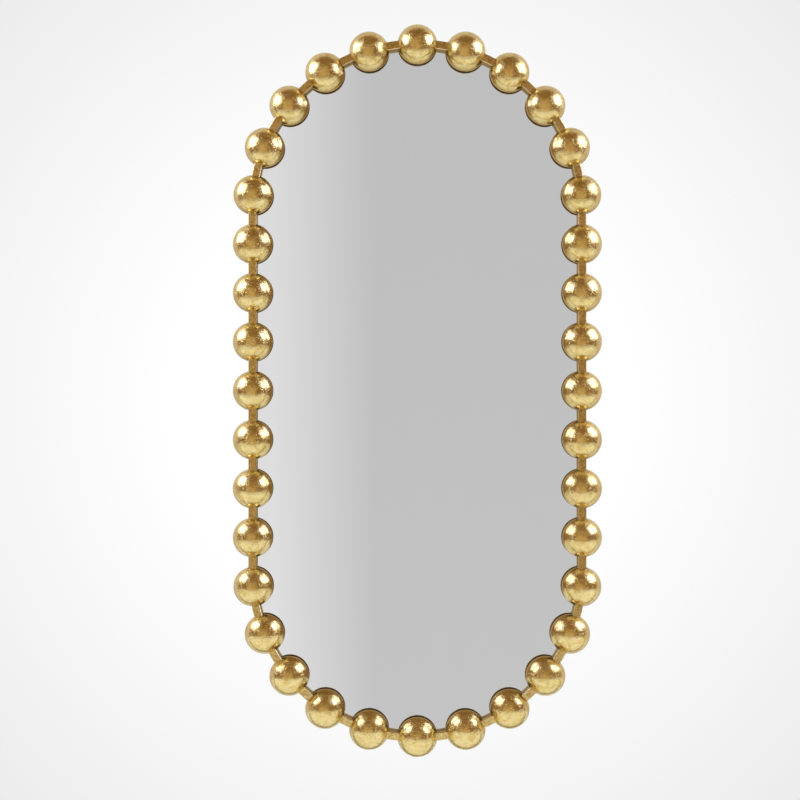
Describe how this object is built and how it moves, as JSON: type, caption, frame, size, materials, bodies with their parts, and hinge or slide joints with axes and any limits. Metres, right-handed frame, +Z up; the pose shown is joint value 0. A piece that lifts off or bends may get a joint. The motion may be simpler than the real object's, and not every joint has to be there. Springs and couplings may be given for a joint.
{
  "type": "oval wall mirror",
  "caption": "Tall pill-shaped wall mirror: a flat glass in a gold tube hoop strung with large round gold beads, hung from strap rings on its back board.",
  "frame": {"origin": "middle of the mirror on the wall plane, which is the plane of the bumpers' tips", "axes": "+Z up, +X to the right as seen from the front, +Y into the wall, so the glass faces -Y"},
  "size_m": [0.6054, 0.0683, 1.2014],
  "materials": {
    "gilt_bead": "antiqued gold leaf, satin to glossy",
    "gilt_hoop": "antiqued gold leaf, slightly grainy",
    "joiner_steel": "plain mill steel",
    "mirror": "silvered float glass",
    "gasket_rubber": "matte",
    "foam_tape": "matte foam",
    "black_board": "black painted fibreboard, matte",
    "clip_steel": "zinc plated sheet",
    "hanger_zinc": "bright zinc plated",
    "bumper_rubber": "matte"
  },
  "bodies": {
    "mirror": {"back_board": "black_board", "bead_01": "gilt_bead", "bead_02": "gilt_bead", "bead_03": "gilt_bead", "bead_04": "gilt_bead", "bead_05": "gilt_bead", "bead_06": "gilt_bead", "bead_07": "gilt_bead", "bead_08": "gilt_bead", "bead_09": "gilt_bead", "bead_10": "gilt_bead", "bead_11": "gilt_bead", "bead_12": "gilt_bead", "bead_13": "gilt_bead", "bead_14": "gilt_bead", "bead_15": "gilt_bead", "bead_16": "gilt_bead", "bead_17": "gilt_bead", "bead_18": "gilt_bead", "bead_19": "gilt_bead", "bead_20": "gilt_bead", "bead_21": "gilt_bead", "bead_22": "gilt_bead", "bead_23": "gilt_bead", "bead_24": "gilt_bead", "bead_25": "gilt_bead", "bead_26": "gilt_bead", "bead_27": "gilt_bead", "bead_28": "gilt_bead", "bead_29": "gilt_bead", "bead_30": "gilt_bead", "bead_31": "gilt_bead", "bead_32": "gilt_bead", "bead_33": "gilt_bead", "bead_34": "gilt_bead", "bead_35": "gilt_bead", "bead_36": "gilt_bead", "clip_screws": "hanger_zinc", "glass_gasket": "gasket_rubber", "hanger_screws": "hanger_zinc", "hanger_strap_left": "hanger_zinc", "hanger_strap_right": "hanger_zinc", "hoop_joiner_left": "joiner_steel", "hoop_joiner_right": "joiner_steel", "hoop_lower_half": "gilt_hoop", "hoop_upper_half": "gilt_hoop", "mirror_glass": "mirror", "mirror_tape": "foam_tape", "retaining_clips": "clip_steel", "wall_bumper_lower_left": "bumper_rubber", "wall_bumper_lower_right": "bumper_rubber", "wall_bumper_upper_left": "bumper_rubber", "wall_bumper_upper_right": "bumper_rubber"},
    "ring_left": {"hanging_ring_left": "hanger_zinc"},
    "ring_right": {"hanging_ring_right": "hanger_zinc"}
  },
  "joints": [
    {"name": "ring_left_swing", "type": "hinge", "parent": "mirror", "child": "ring_left", "pos_m": [-0.1795, -0.0052, 0.33], "axis": [-1, 0, 0], "range_deg": [0, 180]},
    {"name": "ring_right_swing", "type": "hinge", "parent": "mirror", "child": "ring_right", "pos_m": [0.1795, -0.0052, 0.33], "axis": [-1, 0, 0], "range_deg": [0, 180]}
  ]
}
